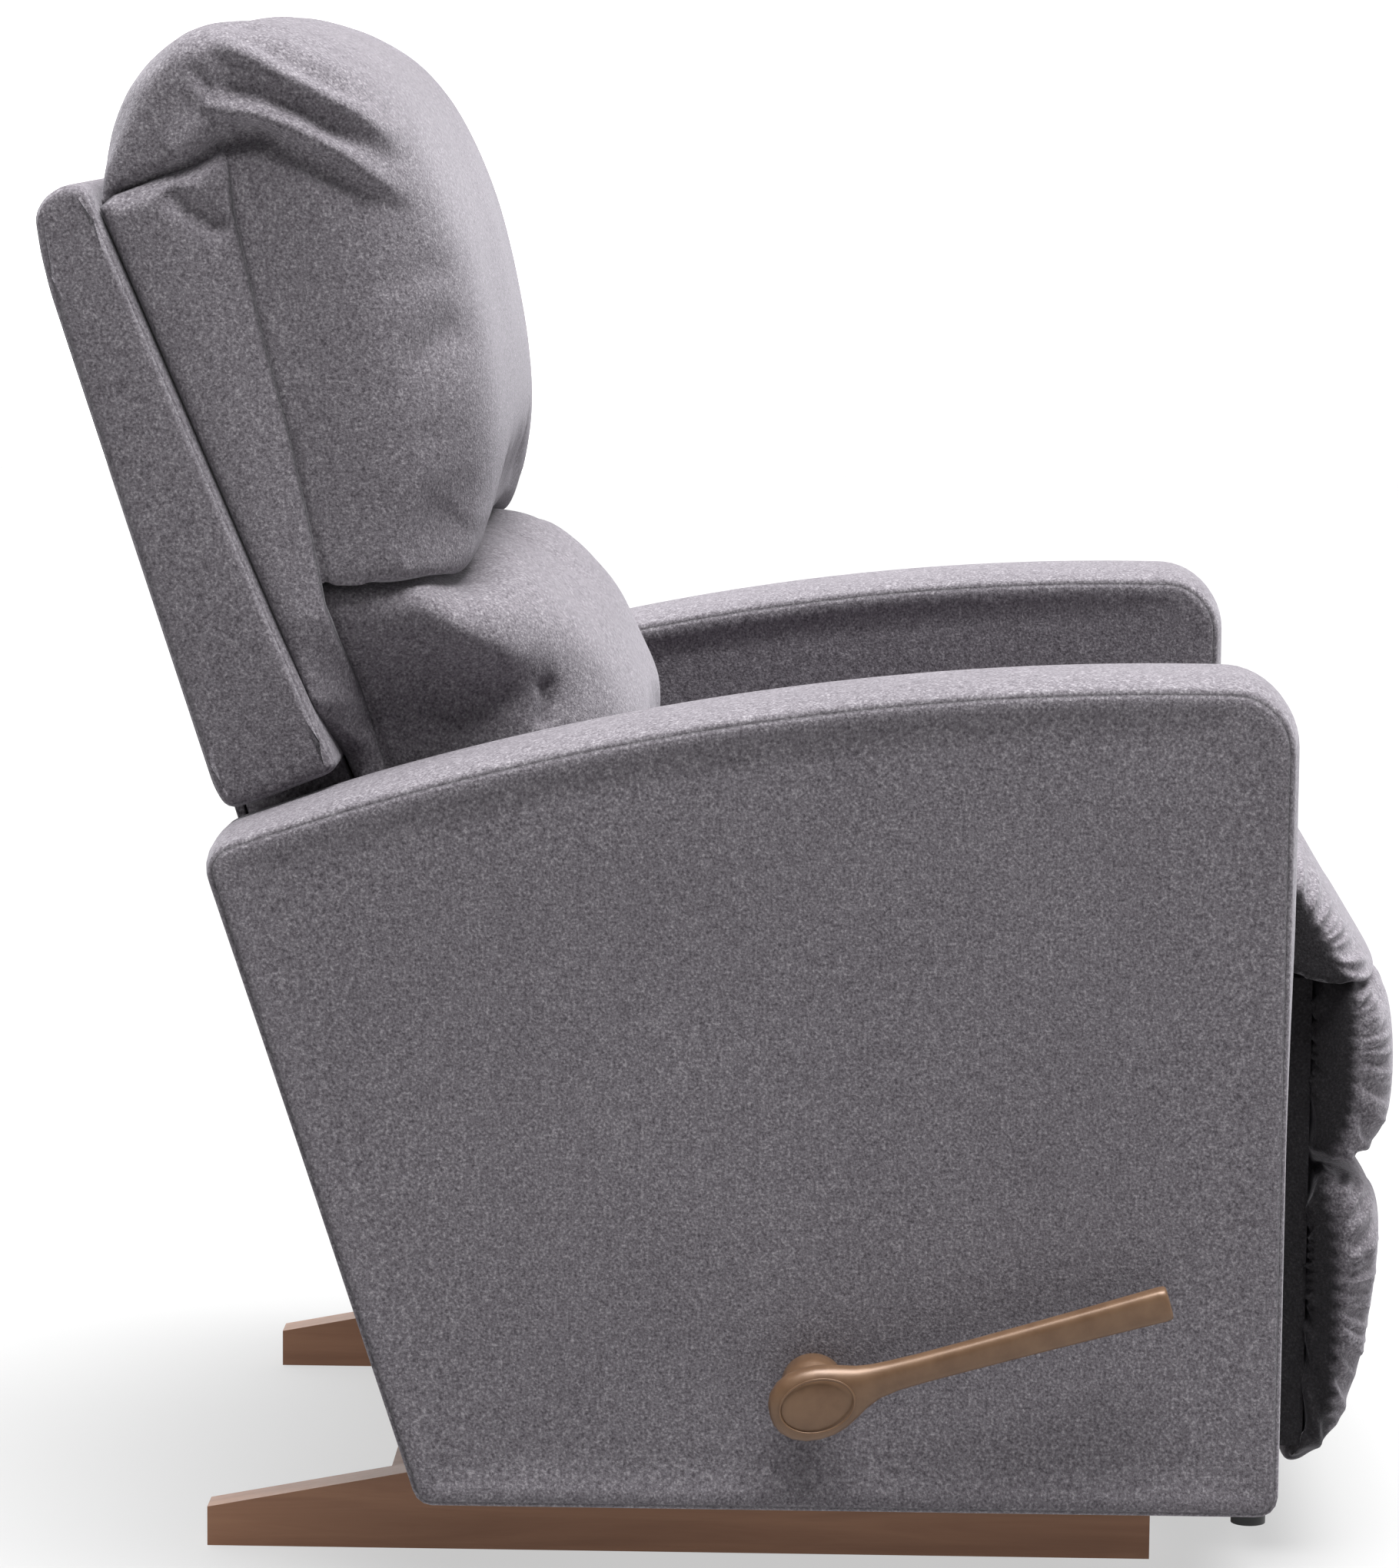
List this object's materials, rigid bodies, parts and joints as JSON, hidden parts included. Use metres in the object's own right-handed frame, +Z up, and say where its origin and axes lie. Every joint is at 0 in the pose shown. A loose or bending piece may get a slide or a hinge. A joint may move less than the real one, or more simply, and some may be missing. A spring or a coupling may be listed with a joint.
{
  "type": "rocker recliner",
  "caption": "Upholstered rocker recliner: pillow back that leans as the seat glides, side lever that lifts a padded legrest, low wooden rocking base.",
  "frame": {"origin": "on the floor, at the middle of the chair's outer box with the handle counted", "axes": "+Z up, -Y towards the sitter's feet (the front), -X towards the sitter's right hand, where the handle is"},
  "size_m": [0.8896, 0.8713, 0.992],
  "materials": {
    "upholstery": "matte",
    "stained_wood": "satin",
    "frame_wood": "matte",
    "painted_steel": "satin",
    "spring_steel": "satin",
    "bronze_paint": "satin",
    "nylon": "matte"
  },
  "bodies": {
    "base": {"base_rail_right": "stained_wood", "base_rail_left": "stained_wood", "base_cross_rails": "stained_wood", "rocker_strips": "painted_steel", "lower_spring_seats": "painted_steel", "rocker_springs": "spring_steel"},
    "chassis": {"arm_cover_right": "upholstery", "arm_cover_left": "upholstery", "arm_frame_right": "frame_wood", "arm_frame_left": "frame_wood", "side_rail_right": "frame_wood", "side_rail_left": "frame_wood", "rocker_block_right": "stained_wood", "rocker_block_left": "stained_wood", "mid_rail": "frame_wood", "rear_rail": "frame_wood", "front_stretcher": "painted_steel", "shaft_bearings": "nylon", "seat_tracks": "painted_steel", "back_pivots": "painted_steel", "upper_spring_seats": "painted_steel", "front_glides": "nylon", "rear_apron": "upholstery"},
    "drive": {"drive_shaft": "painted_steel", "handle_lever": "bronze_paint", "handle_plate": "bronze_paint", "cranks": "painted_steel"},
    "push_rods": {"push_rod_right": "painted_steel", "push_rod_left": "painted_steel"},
    "seat": {"mechanism_plate_right": "painted_steel", "mechanism_plate_left": "painted_steel", "seat_side_boards": "frame_wood", "seat_end_boards": "frame_wood", "seat_springs": "spring_steel", "glide_blocks": "nylon", "seat_cushion": "upholstery", "chaise_bridge": "upholstery"},
    "rear_links": {"rear_link_right": "painted_steel", "rear_link_left": "painted_steel"},
    "front_links": {"front_link_right": "painted_steel", "front_link_left": "painted_steel"},
    "upper_bars": {"upper_bar_right": "painted_steel", "upper_bar_left": "painted_steel"},
    "lower_bars": {"lower_bar_right": "painted_steel", "lower_bar_left": "painted_steel"},
    "legrest": {"legrest_board": "upholstery", "legrest_brackets": "painted_steel", "legrest_pad_upper": "upholstery", "legrest_pad_lower": "upholstery"},
    "back": {"back_posts": "frame_wood", "back_rails": "frame_wood", "back_side_right": "upholstery", "back_side_left": "upholstery", "back_top": "upholstery", "back_panel": "upholstery", "back_springs": "spring_steel", "back_brackets": "painted_steel", "head_cushion": "upholstery", "lumbar_cushion": "upholstery"}
  },
  "joints": [
    {"name": "rock", "type": "hinge", "parent": "base", "child": "chassis", "pos_m": [0.02475, 0.035, 0.072], "axis": [-1, 0, 0], "range_deg": [-7, 9], "stiffness_Nm_per_rad": 650, "deforming": ["rocker_springs"]},
    {"name": "recline", "type": "hinge", "parent": "chassis", "child": "back", "pos_m": [0.02475, 0.24, 0.4], "axis": [-1, 0, 0], "range_deg": [0, 28]},
    {"name": "seat_glide", "type": "slide", "parent": "chassis", "child": "seat", "axis": [0, -0.9945, 0.1045], "range_m": [0, 0.0448]},
    {"name": "legrest_lift", "type": "hinge", "parent": "seat", "child": "legrest", "pos_m": [0.02475, -0.414, 0.446], "axis": [-1, 0, 0], "range_deg": [0, 90], "deforming": ["chaise_bridge"]},
    {"name": "rear_link_swing", "type": "hinge", "parent": "seat", "child": "rear_links", "pos_m": [0.02475, -0.17686, 0.292], "axis": [-1, 0, 0], "range_deg": [0, 90]},
    {"name": "front_link_swing", "type": "hinge", "parent": "seat", "child": "front_links", "pos_m": [0.02475, -0.2323, 0.328], "axis": [-1, 0, 0], "range_deg": [0, 90]},
    {"name": "upper_bar_turn", "type": "hinge", "parent": "rear_links", "child": "upper_bars", "pos_m": [0.02475, -0.10991, 0.18057], "axis": [-1, 0, 0], "range_deg": [-90, 0]},
    {"name": "lower_bar_turn", "type": "hinge", "parent": "rear_links", "child": "lower_bars", "pos_m": [0.02475, -0.08415, 0.13771], "axis": [-1, 0, 0], "range_deg": [-90, 0]},
    {"name": "handle_pull", "type": "hinge", "parent": "chassis", "child": "drive", "pos_m": [0.02475, -0.055, 0.152], "axis": [-1, 0, 0], "range_deg": [0, 90]},
    {"name": "push_rod_turn", "type": "hinge", "parent": "drive", "child": "push_rods", "pos_m": [0.02475, -0.0344, 0.101], "axis": [-1, 0, 0], "range_deg": [-90, 0]}
  ],
  "couplings": [
    {"joint": "seat_glide", "follows": "recline", "m_per_rad": 0.091673},
    {"joint": "rear_link_swing", "follows": "legrest_lift", "ratio": 1},
    {"joint": "front_link_swing", "follows": "legrest_lift", "ratio": 1},
    {"joint": "upper_bar_turn", "follows": "legrest_lift", "ratio": -1},
    {"joint": "lower_bar_turn", "follows": "legrest_lift", "ratio": -1},
    {"joint": "handle_pull", "follows": "legrest_lift", "ratio": 1},
    {"joint": "push_rod_turn", "follows": "legrest_lift", "ratio": -1}
  ]
}
